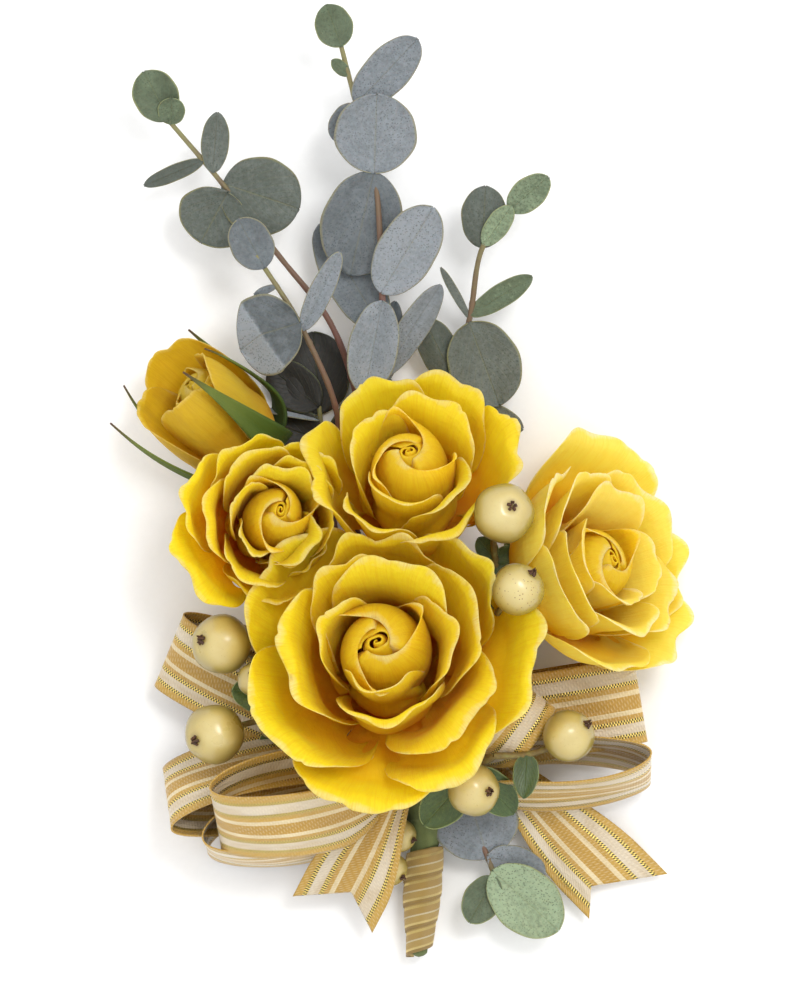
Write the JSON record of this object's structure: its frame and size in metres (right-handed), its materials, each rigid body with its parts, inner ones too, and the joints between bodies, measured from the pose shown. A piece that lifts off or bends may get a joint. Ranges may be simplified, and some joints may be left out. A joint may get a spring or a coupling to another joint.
{
  "type": "rose corsage",
  "caption": "Wired corsage of open roses and a bud with cream berries and eucalyptus sprigs, gathered by a striped ribbon bow on one wrapped stem handle.",
  "frame": {"origin": "under the middle of the corsage's bounding box, on the surface that it lies on", "axes": "+Y runs from the wrapped handle up the eucalyptus sprigs, +Z points out of the flowers at the onlooker, +X is to the onlooker's right"},
  "size_m": [0.106, 0.1724, 0.0432],
  "materials": {
    "rose_petals": "soft satin, yellow with paler rims and an orange depth",
    "bud_petals": "soft satin, yellow with orange veins",
    "rose_green": "matt green with paler rims",
    "berries": "waxy gloss, cream with a dark brown calyx",
    "berry_leaves": "semi-gloss green",
    "eucalyptus": "matt blue-grey bloom with fine specks and pale rims",
    "ribbon": "sheer gold with white satin stripes and metallic threads",
    "binding_wire": "plain drawn wire",
    "stem_tape": "stretched waxed crepe tape over the stems"
  },
  "bodies": {
    "root": {"stem_bundle": "stem_tape", "stem_wrap": "ribbon", "front_rose_calyx": "rose_green", "top_rose_calyx": "rose_green", "right_rose_calyx": "rose_green", "left_rose_calyx": "rose_green", "rose_bud_calyx": "rose_green", "front_rose_stem": "rose_green", "top_rose_stem": "rose_green", "right_rose_stem": "rose_green", "left_rose_stem": "rose_green", "rose_bud_stem": "rose_green", "front_rose_heart": "rose_petals", "front_rose_inner_petals": "rose_petals", "front_rose_middle_petals": "rose_petals", "front_rose_outer_petals": "rose_petals", "top_rose_heart": "rose_petals", "top_rose_inner_petals": "rose_petals", "top_rose_outer_petals": "rose_petals", "right_rose_heart": "rose_petals", "right_rose_inner_petals": "rose_petals", "right_rose_middle_petals": "rose_petals", "right_rose_outer_petals": "rose_petals", "left_rose_heart": "rose_petals", "left_rose_inner_petals": "rose_petals", "left_rose_middle_petals": "rose_petals", "left_rose_outer_petals": "rose_petals", "rose_bud_heart": "bud_petals", "rose_bud_outer_petals": "bud_petals", "bow_wire": "binding_wire", "berry_upper_right": "berries", "berry_speckled": "berries", "berry_left_upper": "berries", "berry_left_lower": "berries", "berry_brown": "berries", "berry_half_hidden": "berries", "berry_right": "berries", "berry_right_low": "berries", "berry_behind_tail": "berries", "berry_pale_low": "berries", "berry_sprig_left": "berry_leaves", "berry_sprig_right": "berry_leaves", "berry_sprig_upper": "berry_leaves", "berry_sprig_low": "berry_leaves", "bow_loop_left_front": "ribbon", "bow_loop_left_upper": "ribbon", "bow_loop_left_outer": "ribbon", "bow_loop_left_low": "ribbon", "bow_loop_right_inner": "ribbon", "bow_loop_right_upper": "ribbon", "bow_loop_right_low": "ribbon", "bow_tail_left": "ribbon", "bow_tail_right": "ribbon", "eucalyptus_centre": "eucalyptus", "eucalyptus_right": "eucalyptus", "eucalyptus_left_tall": "eucalyptus", "eucalyptus_left_short": "eucalyptus", "backing_leaves": "eucalyptus", "eucalyptus_lower_right": "eucalyptus"}
  },
  "joints": []
}
